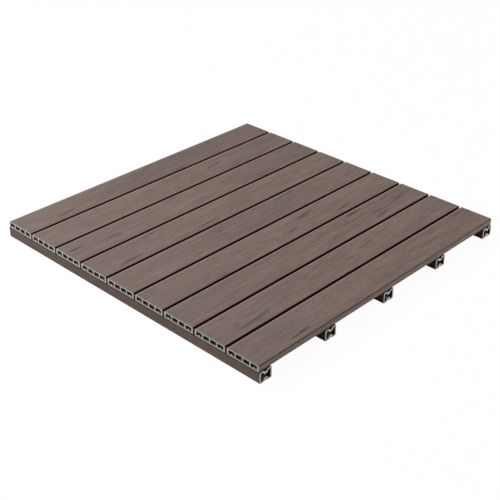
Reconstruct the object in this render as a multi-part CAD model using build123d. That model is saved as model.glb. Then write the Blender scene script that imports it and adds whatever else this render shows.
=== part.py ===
from build123d import *
import os

# A square deck panel: hollow composite boards laid across hollow joists.
# X runs along the boards, Y along the joists and Z up. The origin is the
# centre of the panel on the plane that the joists stand on.
# All lengths are in millimetres.

# Boards
board_count = 9
board_width = 135.0
board_thickness = 25.0
board_gap = 8.0
top_arris_radius = 3.0
bottom_arris_radius = 2.0

# Chambers inside a board
chamber_count = 4
side_wall = 7.5
inner_rib = 5.5
top_wall = 4.5
bottom_wall = 5.5
chamber_radius = 2.5
ridge_base = 14.0
ridge_height = 4.0
ridge_tip = 2.5

# Joists
joist_count = 5
joist_width = 54.0
joist_height = 42.0
joist_wall = 5.5
joist_radius = 4.0
joist_overhang = 4.0
top_groove_width = 20.0
top_groove_depth = 8.0
bottom_groove_width = 16.0
bottom_groove_depth = 3.5
groove_radius = 1.2
boss_base = 25.0
boss_tip = 11.0
boss_height = 9.5
cavity_radius = 1.6

# Screws, driven up through the joists into the middle rib of each board
screw_length = 50.0
screw_radius = 2.0
screw_point = 4.0
head_radius = 4.5
head_rim = 0.6
head_face_height = 6.0
head_room_radius = 4.8
joist_hole_radius = 2.3
drive_side = 2.6
drive_depth = 2.4

# How far a cutting shape starts outside the surface that it cuts
overcut = 1.0

# Sizes that follow from the ones above
board_pitch = board_width + board_gap
panel_side = board_count * board_pitch - board_gap
board_length = panel_side
joist_length = panel_side + 2 * joist_overhang
joist_spacing = (board_length - joist_width) / (joist_count - 1)
board_base = joist_height
chamber_width = (
    board_width - 2 * side_wall - (chamber_count - 1) * inner_rib
) / chamber_count
chamber_height = board_thickness - top_wall - bottom_wall
chamber_pitch = chamber_width + inner_rib
head_cone = head_radius - screw_radius
screw_top = head_face_height + screw_length


def board_y(number):
    """Centre of a board, counted from the +Y side."""
    return ((board_count + 1) / 2 - number) * board_pitch


def joist_x(number):
    """Centre of a joist, counted from the -X side."""
    return (number - (joist_count + 1) / 2) * joist_spacing


def chamber_y(number):
    """Centre of a chamber from the board's centre, counted from the -Y side."""
    return (number - (chamber_count + 1) / 2) * chamber_pitch


def chamber_section(number):
    """One chamber of a board. The two outer ones have a ridge along the floor."""
    middle = chamber_y(number)
    floor = board_base + bottom_wall
    chamber = RectangleRounded(chamber_width, chamber_height, chamber_radius)
    chamber = Pos(middle, floor + chamber_height / 2) * chamber
    if number in (1, chamber_count):
        ridge = Polygon(
            (middle - ridge_base / 2, floor - overcut),
            (middle + ridge_base / 2, floor - overcut),
            (middle + ridge_base / 2, floor),
            (middle + ridge_tip / 2, floor + ridge_height),
            (middle - ridge_tip / 2, floor + ridge_height),
            (middle - ridge_base / 2, floor),
            align=None,
        )
        chamber = chamber - ridge
    return chamber


def board_section():
    """Cross-section of a board, Y to the right and Z up, centred on Y."""
    outline = Pos(0, board_base + board_thickness / 2) * Rectangle(board_width, board_thickness)
    corners = outline.vertices().sort_by(Axis.Y)
    outline = fillet(corners[2:], top_arris_radius)
    corners = outline.vertices().group_by(Axis.Y)[0]
    outline = fillet(corners, bottom_arris_radius)
    for number in range(1, chamber_count + 1):
        outline = outline - chamber_section(number)
    return outline


def joist_groove(width, depth, surface, way):
    """A V groove cut from a joist's top or bottom surface, way being 1 or -1 out of the joist."""
    half = width / 2
    outside = surface + way * overcut
    bottom = surface - way * depth
    points = [(-half, outside), (-half, surface), (0, bottom), (half, surface), (half, outside)]
    return Polygon(*points, align=None)


def screw_boss(face, way):
    """The thick part behind a groove, on the inner face of the wall that way points to."""
    base = boss_base / 2
    tip = boss_tip / 2
    outside = face + way * overcut
    end = face - way * boss_height
    points = [(-base, outside), (-base, face), (-tip, end), (tip, end), (base, face), (base, outside)]
    return Polygon(*points, align=None)


def joist_section():
    """Cross-section of a joist, X to the right and Z up, centred on X."""
    middle = joist_height / 2
    outer = Pos(0, middle) * RectangleRounded(joist_width, joist_height, joist_radius)
    outer = outer - joist_groove(top_groove_width, top_groove_depth, joist_height, 1)
    outer = outer - joist_groove(bottom_groove_width, bottom_groove_depth, 0, -1)
    groove_reach = top_groove_width / 2 + groove_radius
    groove_corners = [v for v in outer.vertices() if abs(v.X) < groove_reach]
    outer = fillet(groove_corners, groove_radius)
    cavity_width = joist_width - 2 * joist_wall
    cavity_height = joist_height - 2 * joist_wall
    cavity = Pos(0, middle) * Rectangle(cavity_width, cavity_height)
    cavity = cavity - screw_boss(middle + cavity_height / 2, 1)
    cavity = cavity - screw_boss(middle - cavity_height / 2, -1)
    cavity = fillet(cavity.vertices(), cavity_radius)
    return outer - cavity


def screw():
    """A countersunk screw, standing on its axis with its head at the bottom."""
    rim_top = head_face_height + head_rim
    cone_top = rim_top + head_cone
    point_base = screw_top - screw_point
    profile = Polyline(
        (0, head_face_height),
        (head_radius, head_face_height),
        (head_radius, rim_top),
        (screw_radius, cone_top),
        (screw_radius, point_base),
        (0, screw_top),
        close=True,
    )
    body = revolve(Plane.XZ * make_face(profile), Axis.Z)
    drive = Pos(0, 0, head_face_height) * extrude(Rectangle(drive_side, drive_side), drive_depth)
    return body - drive


def screw_seat():
    """What a screw takes out of a joist: head room, countersink and clearance hole."""
    rim_top = head_face_height + head_rim
    cone_top = head_face_height + head_rim + head_radius - joist_hole_radius
    profile = Polyline(
        (0, -overcut),
        (head_room_radius, -overcut),
        (head_room_radius, head_face_height),
        (head_radius, head_face_height),
        (head_radius, rim_top),
        (joist_hole_radius, cone_top),
        (joist_hole_radius, joist_height + overcut),
        (0, joist_height + overcut),
        close=True,
    )
    return revolve(Plane.XZ * make_face(profile), Axis.Z)


def pilot_hole():
    """The hole that a screw fills in the middle rib of a board."""
    point_base = screw_top - screw_point
    profile = Polyline(
        (0, board_base - overcut),
        (screw_radius, board_base - overcut),
        (screw_radius, point_base),
        (0, screw_top),
        close=True,
    )
    return revolve(Plane.XZ * make_face(profile), Axis.Z)


def make_board(number):
    """One board with a pilot hole over every joist."""
    blank = extrude(Plane.YZ * board_section(), board_length / 2, both=True)
    holes = [Pos(joist_x(n), 0, 0) * pilot_hole() for n in range(1, joist_count + 1)]
    board = blank - holes
    return Pos(0, board_y(number), 0) * board


def make_joist(number):
    """One joist with a screw seat under every board."""
    blank = extrude(Plane.XZ * joist_section(), joist_length / 2, both=True)
    seats = [Pos(0, board_y(n), 0) * screw_seat() for n in range(1, board_count + 1)]
    joist = blank - seats
    return Pos(joist_x(number), 0, 0) * joist


def make_screws(number):
    """The row of screws along one joist, one for each board."""
    row = [Pos(joist_x(number), board_y(n), 0) * screw() for n in range(1, board_count + 1)]
    return Compound(children=row)


os.makedirs("parts", exist_ok=True)

for board_number in range(1, board_count + 1):
    export_step(make_board(board_number), f"parts/board_{board_number}.step")

for joist_number in range(1, joist_count + 1):
    export_step(make_joist(joist_number), f"parts/joist_{joist_number}.step")
    export_step(make_screws(joist_number), f"parts/screws_joist_{joist_number}.step")
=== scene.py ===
import math

import bpy
from mathutils import Matrix, Vector


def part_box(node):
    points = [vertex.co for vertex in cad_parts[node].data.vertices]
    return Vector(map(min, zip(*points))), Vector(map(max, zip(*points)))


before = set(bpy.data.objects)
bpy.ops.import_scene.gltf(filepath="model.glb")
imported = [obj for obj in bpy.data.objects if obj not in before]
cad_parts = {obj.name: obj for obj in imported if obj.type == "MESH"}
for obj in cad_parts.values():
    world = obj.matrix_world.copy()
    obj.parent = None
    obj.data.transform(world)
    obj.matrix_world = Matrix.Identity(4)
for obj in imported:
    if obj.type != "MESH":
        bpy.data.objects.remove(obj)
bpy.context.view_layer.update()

# Sizes read from the frame, in metres
board_low, board_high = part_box("board_1")
next_board_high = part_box("board_2")[1]
joist_low, joist_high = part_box("joist_1")
board_end = board_high.x
board_half_width = (board_high.y - board_low.y) / 2
board_pitch = board_high.y - next_board_high.y
board_base = board_low.z
board_top = board_high.z
outer_board_middle = board_high.y - board_half_width
joist_end = joist_high.y
joist_half_width = (joist_high.x - joist_low.x) / 2
joist_top = joist_high.z
joist_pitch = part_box("joist_2")[0].x - joist_low.x
board_names = sorted(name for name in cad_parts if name.startswith("board_"))
joist_names = sorted(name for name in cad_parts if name.startswith("joist_"))
screw_names = sorted(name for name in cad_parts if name.startswith("screws_"))
middle_board = (len(board_names) + 1) / 2

# A face this close to a piece's end is sawn, and one deeper than the wall is inside the piece.
# A joist's inside starts just below its top groove, which is deeper than its wall. In metres.
saw_skin = 0.0001
board_wall = 0.0042
joist_wall = 0.0053
joist_groove = 0.0082

# Noises of each surface: waves a metre along X, Y and Z, seed, detail and roughness
cut_noises = {
    "fleck": ((800.0, 800.0, 800.0), 3.0, 3.0, 0.6),
    "patch": ((90.0, 90.0, 90.0), 8.0, 2.0, 0.5),
    "marks": ((150.0, 150.0, 1500.0), 5.0, 2.0, 0.5),
}
board_noises = {
    "broad": ((2.2, 17.0, 17.0), 0.0, 2.0, 0.5),
    "hue": ((5.0, 45.0, 45.0), 20.0, 3.0, 0.5),
    "streak": ((6.0, 190.0, 190.0), 0.0, 3.0, 0.6),
    "strand": ((4.0, 330.0, 330.0), 60.0, 3.0, 0.6),
    "grit": ((24.0, 380.0, 380.0), 0.0, 3.0, 0.65),
    "brush": ((40.0, 900.0, 900.0), 0.0, 3.0, 0.6),
    "smudge": ((10.0, 105.0, 105.0), 40.0, 2.0, 0.55),
    "cluster": ((2.8, 13.0, 13.0), 80.0, 1.0, 0.5),
}
joist_noises = {
    "broad": ((14.0, 2.0, 14.0), 0.0, 2.0, 0.5),
    "lines": ((260.0, 3.0, 260.0), 0.0, 3.0, 0.6),
    "mottle": ((60.0, 16.0, 60.0), 0.0, 3.0, 0.6),
}
screw_noises = {
    "turned": ((400.0, 400.0, 2500.0), 1.0, 3.0, 0.6),
    "dull": ((350.0, 350.0, 350.0), 5.0, 3.0, 0.6),
}

# How far the seed moves on from one board or joist to the next, so that no two are alike
board_seed_step = 1.73
joist_seed_step = 2.31

# Colours are given as 0 to 255 in each channel. Each surface has a first colour and tones laid
# over it in turn: noise, its value where the tone starts and is full, amount and colour.
cut_colour = (165, 163, 161)
cut_tones = (
    ("fleck", 0.32, 0.70, 1.00, (198, 195, 193)),
    ("patch", 0.35, 0.70, 0.60, (184, 179, 176)),
    ("marks", 0.50, 0.75, 0.35, (163, 157, 154)),
)
board_colour = (131, 112, 105)
board_tones = (
    ("broad", 0.35, 0.65, 1.00, (121, 104, 97)),
    ("hue", 0.40, 0.70, 0.60, (117, 103, 96)),
    ("hue", 0.50, 0.28, 0.60, (135, 113, 109)),
    ("streak", 0.50, 0.72, 0.48, (93, 79, 72)),
    ("streak", 0.48, 0.28, 0.42, (150, 131, 124)),
    ("strand", 0.54, 0.72, 0.60, (82, 72, 65)),
    ("grit", 0.50, 0.72, 0.60, (86, 72, 65)),
    ("grit", 0.48, 0.28, 0.50, (156, 137, 129)),
    ("brush", 0.50, 0.75, 0.50, (84, 70, 64)),
    ("brush", 0.48, 0.25, 0.48, (158, 140, 133)),
)
joist_colour = (108, 90, 84)
joist_tones = (
    ("broad", 0.35, 0.66, 1.00, (96, 82, 75)),
    ("lines", 0.45, 0.75, 0.50, (80, 67, 61)),
    ("mottle", 0.52, 0.75, 0.60, (86, 77, 69)),
)
screw_colour = (190, 190, 187)
screw_tones = (("dull", 0.40, 0.70, 1.00, (150, 147, 142)),)

# The grain of a board: the noise that it wanders by, with its detail, how far it wanders to
# the sides, in metres, and how askew it runs
wander_waves = (2.0, 9.0, 9.0)
wander_detail = 1.0
wander_reach = 0.008
grain_slant = -0.02

# A painted bluish sheen turns the boards a little cooler from their middle towards the -X end
sheen_start = 0.0
sheen_full = -0.6
sheen_amount = 0.28
sheen_colour = (118, 106, 102)

# Dark marks and wide soft patches on the boards: board, place along it, place across it,
# length and width in metres, and depth of tone
stains = (
    (1, -0.445, -0.030, 0.11, 0.012, 0.75),
    (1, 0.060, 0.000, 0.80, 0.150, 0.30),
    (1, 0.110, -0.052, 0.12, 0.010, 0.95),
    (1, 0.480, 0.000, 0.70, 0.150, 0.24),
    (2, 0.460, 0.000, 0.70, 0.150, 0.22),
    (2, 0.240, 0.010, 0.13, 0.012, 0.80),
    (3, -0.590, 0.015, 0.08, 0.014, 0.70),
    (3, 0.480, 0.000, 0.70, 0.150, 0.22),
    (4, -0.500, -0.040, 0.13, 0.012, 0.80),
    (4, -0.350, 0.048, 0.10, 0.012, 0.75),
    (4, -0.120, -0.042, 0.12, 0.012, 0.75),
    (5, 0.050, 0.000, 0.70, 0.150, 0.20),
    (5, 0.240, 0.050, 0.14, 0.012, 0.95),
    (6, 0.170, 0.030, 0.11, 0.012, 0.80),
    (6, 0.330, -0.035, 0.12, 0.012, 0.80),
    (7, 0.310, 0.048, 0.12, 0.014, 0.90),
    (7, 0.400, -0.035, 0.13, 0.016, 0.95),
    (7, 0.540, 0.005, 0.10, 0.012, 0.80),
    (8, -0.480, -0.034, 0.20, 0.014, 0.62),
    (8, 0.150, 0.010, 0.12, 0.012, 0.75),
    (9, -0.425, -0.042, 0.11, 0.013, 0.95),
    (9, 0.590, 0.045, 0.10, 0.012, 0.80),
)
stain_colour = (62, 60, 57)

# The marks run a little askew and fade towards their rim. A noise of its own, given as in the
# tables above, breaks them up. Smudges come where two of the board's noises are both high.
# A range says the noise's two limits and, where they aren't 0 and 1, the tone at each.
stain_slant = -0.07
stain_fade = (1.2, 0.2)
break_noise = ((11.0, 280.0, 280.0), 7.0, 3.0, 0.6)
break_range = (0.38, 0.56, 0.15, 1.0)
smudge_range = (0.56, 0.76)
cluster_range = (0.42, 0.62, 0.0, 0.7)

# Bands of painted light and shade along a board's edges. Each pair says at what distance from
# the side or the top, in metres, the tone starts and where it is full: a painted highlight on
# the +Y arris, painted shade on the -Y arris, and a painted shade line under the arris, which
# runs between two depths. The painted shade of a gap reaches further in over the +Y side of a
# board.
arris_highlight_from_side = (0.0070, 0.0058)
arris_highlight_from_top = (0.0013, 0.0008)
arris_highlight_colour = (162, 144, 137)
shaded_arris_from_side = (0.0026, 0.0016)
shaded_arris_from_top = (0.0035, 0.0025)
shaded_arris_amount = 0.55
shaded_arris_colour = (72, 50, 41)
shade_line_from_side = (0.0018, 0.0008)
shade_line_upper_depth = 0.0008
shade_line_lower_depth = 0.0040
shade_line_amount = 0.6
shade_line_colour = (62, 46, 40)
gap_shade_from_side = (0.0028, 0.0015)
gap_shade_extra_width = 0.0013
gap_shade_amount = 0.95
gap_shade_colour = (62, 29, 18)

# Painted light and shade inside a board's chambers, and painted shade low on its sawn end, by the
# height above its base
chamber_shade_change = (0.009, 0.014)
chamber_lit_floor_colour = (98, 94, 86)
chamber_shaded_roof_colour = (34, 32, 29)
low_cut_shade_change = (0.008, 0.002)
low_cut_shade_amount = 0.22
low_cut_shade_colour = (70, 60, 54)

# The painted shadow under the boards on a joist, the painted light and shade in its cavity, and
# its sawn end
seam_from_top = (0.0055, 0.0025)
seam_amount = 0.85
seam_colour = (40, 30, 26)
cavity_light_change = (0.012, 0.016)
cavity_shaded_side_colour = (52, 50, 45)
cavity_lit_middle_colour = (150, 147, 138)
joist_cut_amount = 0.35
joist_cut_colour = (226, 216, 211)

# Roughness: two values of a noise, and the roughness at each
board_rough = (0.30, 0.70, 0.56, 0.74)
joist_rough = (0.30, 0.70, 0.55, 0.70)
screw_rough = (0.35, 0.70, 0.28, 0.50)

# Relief: how much each noise lifts a board, and the bumps' strength and height in metres
streak_relief = 0.6
brush_relief = 0.5
composite_bump = 0.4
board_bump_height = 0.0012
joist_bump_height = 0.0008
screw_bump = 0.2
screw_bump_height = 0.0002
composite_specular = 0.1

# The floor is far larger than the panel and lies just under the plane that the joists stand
# on, so the two never share a plane. It glows by itself to the camera, and bounces less
# light on the panel than its white would.
floor_half_side = 8.0
floor_drop = 0.0003
floor_white = 0.97
floor_glow = 0.97
floor_bounce = 0.85

# How brightly the world lights the object
world_light = 0.15


def srgb(red, green, blue):
    """A colour given as 0 to 255 in each channel, as Blender's linear colour."""
    def linear(value):
        value = value / 255
        return value / 12.92 if value <= 0.04045 else ((value + 0.055) / 1.055) ** 2.4
    return (linear(red), linear(green), linear(blue), 1.0)


def grey(level):
    """A neutral linear colour."""
    return (level, level, level, 1.0)


class Tree:
    """A node tree, with one short call for each kind of node."""

    def __init__(self, tree):
        self.nodes = tree.nodes
        self.links = tree.links

    def feed(self, socket, value):
        """Link a socket to another one, or set it to a plain value."""
        if isinstance(value, bpy.types.NodeSocket):
            self.links.new(value, socket)
        else:
            socket.default_value = value

    def math(self, operation, first, second=0.0, third=0.0):
        node = self.nodes.new("ShaderNodeMath")
        node.operation = operation
        for socket, value in zip(node.inputs, (first, second, third)):
            self.feed(socket, value)
        return node.outputs[0]

    def split(self, vector):
        node = self.nodes.new("ShaderNodeSeparateXYZ")
        self.feed(node.inputs[0], vector)
        return node.outputs

    def join(self, x, y, z):
        node = self.nodes.new("ShaderNodeCombineXYZ")
        for socket, value in zip(node.inputs, (x, y, z)):
            self.feed(socket, value)
        return node.outputs[0]

    def noise(self, vector, waves, seed, detail=2.0, roughness=0.5):
        """Noise of 0 to 1, waves being how many it has a metre along X, Y and Z."""
        stretch = self.nodes.new("ShaderNodeVectorMath")
        stretch.operation = "MULTIPLY"
        self.feed(stretch.inputs[0], vector)
        self.feed(stretch.inputs[1], waves)
        node = self.nodes.new("ShaderNodeTexNoise")
        node.noise_dimensions = "4D"
        self.feed(node.inputs["Vector"], stretch.outputs[0])
        self.feed(node.inputs["W"], seed)
        self.feed(node.inputs["Scale"], 1.0)
        self.feed(node.inputs["Detail"], detail)
        self.feed(node.inputs["Roughness"], roughness)
        return node.outputs["Fac"]

    def step(self, value, low, high, start=0.0, end=1.0):
        """A smooth change from start to end while value goes from low to high."""
        node = self.nodes.new("ShaderNodeMapRange")
        node.interpolation_type = "SMOOTHSTEP"
        for socket, number in zip(node.inputs, (value, low, high, start, end)):
            self.feed(socket, number)
        return node.outputs[0]

    def mix(self, factor, first, second):
        node = self.nodes.new("ShaderNodeMix")
        node.data_type = "RGBA"
        self.feed(node.inputs["Factor"], factor)
        self.feed(node.inputs[6], first)
        self.feed(node.inputs[7], second)
        return node.outputs[2]

    def both(self, first, second):
        """The product of two factors, which is 1 only where both are."""
        return self.math("MULTIPLY", first, second)

    def between(self, value, low, high):
        above = self.math("GREATER_THAN", value, low)
        return self.both(above, self.math("LESS_THAN", value, high))

    def beyond(self, value, limit):
        """1 where value is further from 0 than limit, on either side."""
        return self.math("GREATER_THAN", self.math("ABSOLUTE", value), limit)

    def bump(self, height, strength, distance):
        node = self.nodes.new("ShaderNodeBump")
        self.feed(node.inputs["Height"], height)
        self.feed(node.inputs["Strength"], strength)
        self.feed(node.inputs["Distance"], distance)
        return node.outputs[0]

    def seen_directly(self, *kinds):
        """1 for rays of the given kinds, such as Is Camera Ray, and 0 for the light's own rays."""
        rays = self.nodes.new("ShaderNodeLightPath")
        seen = rays.outputs[kinds[0]]
        for kind in kinds[1:]:
            seen = self.math("MAXIMUM", seen, rays.outputs[kind])
        return seen


class Finish(Tree):
    """A new material for the object, with its shader and its place in the frame."""

    def __init__(self, name):
        self.material = bpy.data.materials.new(name)
        self.material.use_nodes = True
        super().__init__(self.material.node_tree)
        self.surface = self.nodes["Principled BSDF"].inputs
        self.place = self.nodes.new("ShaderNodeTexCoord").outputs["Object"]

    def row(self, value, pitch):
        """Which piece of a row a point is on, from the middle one, and how far off its middle."""
        number = self.math("ROUND", self.math("DIVIDE", value, pitch))
        return number, self.math("SUBTRACT", value, self.math("MULTIPLY", number, pitch))

    def noises(self, vector, table, seed=0.0):
        """The noises of a table by name, seed being added to the table's own seeds."""
        made = {}
        for name, (waves, own_seed, detail, roughness) in table.items():
            full_seed = self.math("ADD", seed, own_seed)
            made[name] = self.noise(vector, waves, full_seed, detail, roughness)
        return made

    def tint(self, factor, under, colour):
        """Mix a colour of 0 to 255 in each channel over another one."""
        return self.mix(factor, under, srgb(*colour))

    def tones(self, colour, table, noises):
        """A first colour with the tones of a table laid over it in turn."""
        skin = srgb(*colour)
        for name, low, high, amount, tone in table:
            skin = self.tint(self.step(noises[name], low, high, 0.0, amount), skin, tone)
        return skin

    def cut_face(self):
        """Colour and relief of a sawn face: light grey composite, wood flecks and saw marks."""
        noises = self.noises(self.place, cut_noises)
        colour = self.tones(cut_colour, cut_tones, noises)
        return colour, self.math("ADD", noises["fleck"], noises["marks"])

    def composite(self, colours, reliefs, inside, sawn, rough, bump_height):
        """Join skin, inner walls and sawn ends in one shader. Sawn faces are fully rough."""
        skin, hollow, cut = colours
        skin_relief, cut_relief = reliefs
        colour = self.mix(sawn, self.mix(inside, skin, hollow), cut)
        self.feed(self.surface["Base Color"], colour)
        self.feed(self.surface["Roughness"], self.math("MAXIMUM", rough, sawn))
        self.feed(self.surface["Specular IOR Level"], composite_specular)
        change = self.math("SUBTRACT", cut_relief, skin_relief)
        relief = self.math("MULTIPLY_ADD", sawn, change, skin_relief)
        normal = self.bump(relief, composite_bump, bump_height)
        self.feed(self.surface["Normal"], normal)
        return self.material


def stain_depth(shade, x, y, grain, noises):
    """How dark a board is stained: smudges of the noise, and the marks and patches of stains."""
    smudge = shade.step(noises["smudge"], *smudge_range)
    spot = shade.both(smudge, shade.step(noises["cluster"], *cluster_range))
    broken = shade.step(shade.noise(grain, *break_noise), *break_range)
    for board, along, offset, length, width, depth in stains:
        middle = (middle_board - board) * board_pitch + offset
        run = shade.math("SUBTRACT", x, along)
        rise = shade.math("SUBTRACT", y, middle)
        rise = shade.math("MULTIPLY_ADD", run, stain_slant, rise)
        far_along = shade.math("POWER", shade.math("DIVIDE", run, length / 2), 2.0)
        far_across = shade.math("POWER", shade.math("DIVIDE", rise, width / 2), 2.0)
        far = shade.math("ADD", far_along, far_across)
        mark = shade.both(shade.step(far, *stain_fade, 0.0, depth), broken)
        spot = shade.math("MAXIMUM", spot, mark)
    return spot


def board_edges(shade, skin, y, across, from_side, from_top):
    """Painted highlight on the +Y arris, painted shade on the -Y arris, under both arrises and in
    gaps.
    """
    plus_side = shade.math("GREATER_THAN", across, 0.0)
    minus_side = shade.math("LESS_THAN", across, 0.0)
    # Painted highlight on the arris of the +Y side, which faces the key lamp
    arris_highlight = shade.step(from_side, *arris_highlight_from_side)
    arris_highlight = shade.both(arris_highlight, shade.step(from_top, *arris_highlight_from_top))
    skin = shade.tint(shade.both(arris_highlight, plus_side), skin, arris_highlight_colour)

    # Painted shade on the arris of the -Y side, which faces away from the key lamp
    arris_shade = shade.both(shade.step(from_side, *shaded_arris_from_side), minus_side)
    arris_shade = shade.both(arris_shade, shade.step(from_top, *shaded_arris_from_top))
    skin = shade.tint(shade.both(arris_shade, shaded_arris_amount), skin, shaded_arris_colour)

    # A painted shade line on both sides, just under the top arris
    shade_line = shade.step(from_side, *shade_line_from_side)
    shade_line = shade.both(shade_line, shade.between(from_top, shade_line_upper_depth, shade_line_lower_depth))
    skin = shade.tint(shade.both(shade_line, shade_line_amount), skin, shade_line_colour)

    # Painted shade darkens the sides in the gaps, reaching further over the +Y side
    # The outer sides of the two outer boards face no gap
    wider = shade.both(plus_side, gap_shade_extra_width)
    gap_shade = shade.step(shade.math("SUBTRACT", from_side, wider), *gap_shade_from_side)
    facing = shade.math("LESS_THAN", shade.math("ABSOLUTE", y), outer_board_middle)
    gap_shade = shade.both(gap_shade, facing)
    return shade.tint(shade.both(gap_shade, gap_shade_amount), skin, gap_shade_colour)


def board_material():
    """Brushed brown wood-plastic composite with streaks and marks along the board."""
    shade = Finish("composite_board")
    x, y, z = shade.split(shade.place)
    number, across = shade.row(y, board_pitch)
    seed = shade.math("MULTIPLY", number, board_seed_step)
    from_side = shade.math("SUBTRACT", board_half_width, shade.math("ABSOLUTE", across))
    from_top = shade.math("SUBTRACT", board_top, z)
    from_base = shade.math("SUBTRACT", z, board_base)

    # The grain runs along X, a little askew, and wanders a few millimetres to the sides
    wander = shade.noise(shade.place, wander_waves, seed, wander_detail)
    slant = shade.math("MULTIPLY", x, grain_slant)
    drift = shade.math("MULTIPLY_ADD", wander, wander_reach, slant)
    grain = shade.join(x, shade.math("ADD", across, drift), z)
    noises = shade.noises(grain, board_noises, seed)
    skin = shade.tones(board_colour, board_tones, noises)
    # Painted bluish sheen, growing towards the -X end
    painted_sheen = shade.step(x, sheen_start, sheen_full, 0.0, sheen_amount)
    skin = shade.tint(painted_sheen, skin, sheen_colour)
    skin = shade.tint(stain_depth(shade, x, y, grain, noises), skin, stain_colour)
    skin = board_edges(shade, skin, y, across, from_side, from_top)

    # The chambers are painted lit at their floor and in shade towards their roof, and the sawn end
    # is painted in shade towards its foot
    inside = shade.both(
        shade.math("GREATER_THAN", from_side, board_wall),
        shade.between(z, board_base + board_wall, board_top - board_wall),
    )
    chamber_shade = shade.step(from_base, *chamber_shade_change)
    hollow = shade.tint(chamber_shade, srgb(*chamber_lit_floor_colour), chamber_shaded_roof_colour)
    sawn = shade.beyond(x, board_end - saw_skin)
    cut, cut_relief = shade.cut_face()
    # Painted shade darkens the sawn end towards its foot
    foot_shade = shade.step(from_base, *low_cut_shade_change, 0.0, low_cut_shade_amount)
    cut = shade.tint(foot_shade, cut, low_cut_shade_colour)

    brush = shade.math("MULTIPLY", noises["brush"], brush_relief)
    relief = shade.math("MULTIPLY_ADD", noises["streak"], streak_relief, brush)
    rough = shade.step(noises["streak"], *board_rough)
    colours = (skin, hollow, cut)
    reliefs = (relief, cut_relief)
    return shade.composite(colours, reliefs, inside, sawn, rough, board_bump_height)


def joist_material():
    """Plain extruded dark brown composite with die lines along the joist and an olive mottle."""
    shade = Finish("composite_joist")
    x, y, z = shade.split(shade.place)
    number, across = shade.row(x, joist_pitch)
    seed = shade.math("MULTIPLY", number, joist_seed_step)
    from_side = shade.math("SUBTRACT", joist_half_width, shade.math("ABSOLUTE", across))
    from_top = shade.math("SUBTRACT", joist_top, z)
    noises = shade.noises(shade.place, joist_noises, seed)
    skin = shade.tones(joist_colour, joist_tones, noises)
    seam = shade.step(from_top, *seam_from_top, 0.0, seam_amount)
    skin = shade.tint(seam, skin, seam_colour)

    # Painted light and shade: the cavity is dark behind its side walls and lit on the two bosses
    # in its middle
    inside = shade.both(
        shade.math("GREATER_THAN", from_side, joist_wall),
        shade.between(z, joist_wall, joist_top - joist_groove),
    )
    cavity_light = shade.step(from_side, *cavity_light_change)
    hollow = shade.tint(cavity_light, srgb(*cavity_shaded_side_colour), cavity_lit_middle_colour)
    sawn = shade.beyond(y, joist_end - saw_skin)
    cut, cut_relief = shade.cut_face()
    cut = shade.tint(joist_cut_amount, cut, joist_cut_colour)

    rough = shade.step(noises["mottle"], *joist_rough)
    colours = (skin, hollow, cut)
    reliefs = (noises["lines"], cut_relief)
    return shade.composite(colours, reliefs, inside, sawn, rough, joist_bump_height)


def screw_material():
    """Stainless steel with turning marks and a few dull patches."""
    shade = Finish("screw_steel")
    noises = shade.noises(shade.place, screw_noises)
    tone = shade.tones(screw_colour, screw_tones, noises)
    shade.feed(shade.surface["Base Color"], tone)
    shade.feed(shade.surface["Metallic"], 1.0)
    shade.feed(shade.surface["Roughness"], shade.step(noises["dull"], *screw_rough))
    normal = shade.bump(noises["turned"], screw_bump, screw_bump_height)
    shade.feed(shade.surface["Normal"], normal)
    return shade.material


def dress(names, material):
    """Give the named pieces one material, in their only slot."""
    for name in names:
        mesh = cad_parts[name].data
        mesh.materials.clear()
        mesh.materials.append(material)


def floor_material():
    """Matt, glowing white to the camera and, beside the panel, to the panel's reflections."""
    material = bpy.data.materials.new("pale_floor")
    material.use_nodes = True
    material.node_tree.nodes.clear()
    tree = Tree(material.node_tree)
    seen = tree.seen_directly("Is Camera Ray", "Is Glossy Ray")
    x, y, _ = tree.split(tree.nodes.new("ShaderNodeTexCoord").outputs["Object"])
    outside = tree.math("MAXIMUM", tree.beyond(x, board_end), tree.beyond(y, joist_end))
    open_floor = tree.math("MAXIMUM", outside, tree.seen_directly("Is Camera Ray"))
    matt = tree.nodes.new("ShaderNodeBsdfDiffuse")
    tree.feed(matt.inputs["Color"], tree.mix(seen, grey(floor_bounce), grey(floor_white)))
    glow = tree.nodes.new("ShaderNodeEmission")
    blend = tree.nodes.new("ShaderNodeMixShader")
    tree.feed(blend.inputs[0], tree.both(tree.both(seen, open_floor), floor_glow))
    tree.feed(blend.inputs[1], matt.outputs[0])
    tree.feed(blend.inputs[2], glow.outputs[0])
    output = tree.nodes.new("ShaderNodeOutputMaterial")
    tree.feed(output.inputs["Surface"], blend.outputs[0])
    return material


def add_floor():
    """A plain pale floor that keeps a light shadow of the object."""
    side = floor_half_side
    corners = [(-side, -side, 0), (side, -side, 0), (side, side, 0), (-side, side, 0)]
    mesh = bpy.data.meshes.new("floor")
    mesh.from_pydata(corners, [], [(0, 1, 2, 3)])
    mesh.materials.append(floor_material())
    floor = bpy.data.objects.new("floor", mesh)
    floor.location.z = -floor_drop
    bpy.context.scene.collection.objects.link(floor)


def add_world():
    """Even white light, with a plain white background for the camera and reflections."""
    world = bpy.data.worlds.new("studio")
    bpy.context.scene.world = world
    world.use_nodes = True
    world.node_tree.nodes.clear()
    tree = Tree(world.node_tree)
    seen = tree.seen_directly("Is Camera Ray", "Is Glossy Ray", "Is Transmission Ray")
    light = tree.nodes.new("ShaderNodeBackground")
    tree.feed(light.inputs["Color"], grey(1.0))
    level = tree.math("MULTIPLY_ADD", seen, 1.0 - world_light, world_light)
    tree.feed(light.inputs["Strength"], level)
    output = tree.nodes.new("ShaderNodeOutputWorld")
    tree.feed(output.inputs["Surface"], light.outputs[0])


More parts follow.
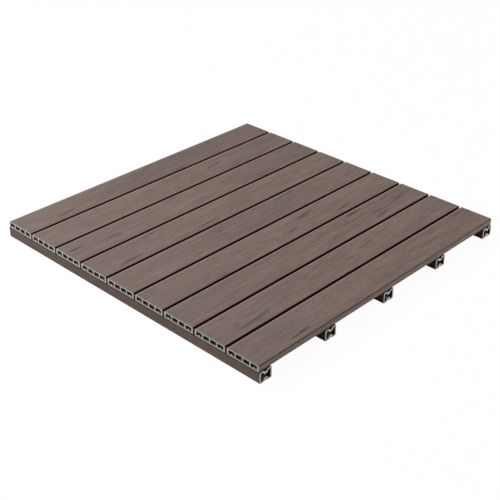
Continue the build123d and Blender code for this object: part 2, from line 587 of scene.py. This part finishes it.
def add_lamp(name, place, target, width, height, level):
    """A flat lamp, level being how white it lights a white face turned to it at the target."""
    reach = Vector(target) - Vector(place)
    lamp = bpy.data.lights.new(name, "AREA")
    lamp.shape = "RECTANGLE"
    lamp.size = width
    lamp.size_y = height
    lamp.energy = level * math.pi**2 * reach.length_squared
    holder = bpy.data.objects.new(name, lamp)
    holder.location = place
    holder.rotation_euler = reach.to_track_quat("-Z", "Y").to_euler()
    bpy.context.scene.collection.objects.link(holder)


def add_camera():
    """The photograph's viewpoint: over the corner of joist_1 and board_9, looking down."""
    place = Vector((-2.4311, -2.3003, 1.9121))
    heading = math.radians(43.505)
    down = math.radians(30.562)
    roll = math.radians(0.413)
    frame_pixels = 500.0
    focal_pixels = 1018.4
    sensor = 36.0
    forward = Vector(
        (
            math.cos(heading) * math.cos(down),
            math.sin(heading) * math.cos(down),
            -math.sin(down),
        )
    )
    level = Vector((math.sin(heading), -math.cos(heading), 0.0))
    upright = level.cross(forward)
    right = level * math.cos(roll) + upright * math.sin(roll)
    up = upright * math.cos(roll) - level * math.sin(roll)
    lens = bpy.data.cameras.new("camera")
    lens.sensor_width = sensor
    lens.lens = focal_pixels / frame_pixels * sensor
    camera = bpy.data.objects.new("camera", lens)
    turn = Matrix((right, up, -forward)).transposed()
    camera.matrix_world = Matrix.Translation(place) @ turn.to_4x4()
    bpy.context.scene.collection.objects.link(camera)
    bpy.context.scene.camera = camera


bpy.context.scene.view_settings.view_transform = "Standard"
add_camera()
add_floor()
add_world()

# The key lamp stands far off on the +Y side, the end lamp lights the sawn ends of the boards,
# and the low front lamp the sawn ends of the joists
add_lamp("key_light", (-5.0, 26.6, 27.0), (0.0, 0.0, 0.0), 9.6, 9.6, 0.90)
add_lamp("end_light", (-1.8, 1.1, 1.3), (-0.4, 0.0, 0.03), 0.8, 0.8, 0.33)
add_lamp("front_light", (1.8, -3.0, 0.09), (0.2, -0.64, 0.04), 3.0, 0.12, 0.55)

dress(board_names, board_material())
dress(joist_names, joist_material())
dress(screw_names, screw_material())
